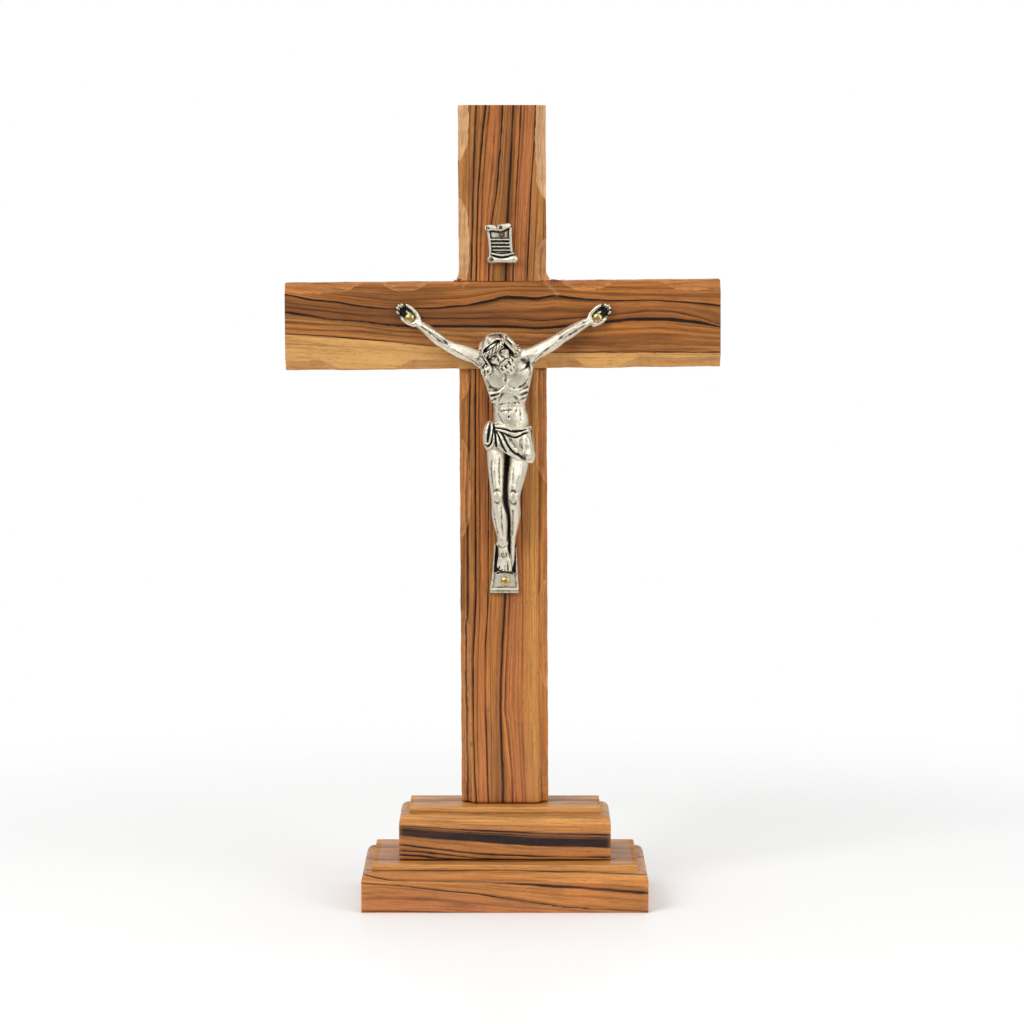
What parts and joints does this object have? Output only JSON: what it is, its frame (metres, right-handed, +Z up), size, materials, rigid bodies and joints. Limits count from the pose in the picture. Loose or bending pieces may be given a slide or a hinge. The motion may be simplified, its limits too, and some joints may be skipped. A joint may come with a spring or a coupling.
{
  "type": "altar cross",
  "caption": "Standing altar crucifix: lapped wooden cross on a moulded stepped base, with a cast figure and scroll held by pins.",
  "frame": {"origin": "centre of the base's underside, on the surface that the cross stands on", "axes": "+Z up along the shaft, -Y the way the figure faces, +X to the viewer's right along the crossbar"},
  "size_m": [0.1414, 0.0546, 0.26],
  "materials": {
    "base_wood": "olive wood, varnished, semi-gloss",
    "cross_wood": "olive wood, varnished, semi-gloss, carved edges",
    "cast_silver": "die-cast white metal, antique silver plated, dark in the recesses",
    "pin_brass": "polished",
    "aged_brass": "darkened",
    "screw_steel": "zinc plated",
    "dowel_wood": "plain beech"
  },
  "bodies": {
    "root": {"lower_block": "base_wood", "upper_block": "base_wood", "shaft": "cross_wood", "crossbar": "cross_wood", "corpus": "cast_silver", "scroll": "cast_silver", "hand_pin_left": "pin_brass", "hand_pin_right": "pin_brass", "foot_pin": "pin_brass", "scroll_pin": "aged_brass", "shaft_screw": "screw_steel", "block_screw_left": "screw_steel", "block_screw_right": "screw_steel", "dowel_left": "dowel_wood", "dowel_right": "dowel_wood"}
  },
  "joints": []
}
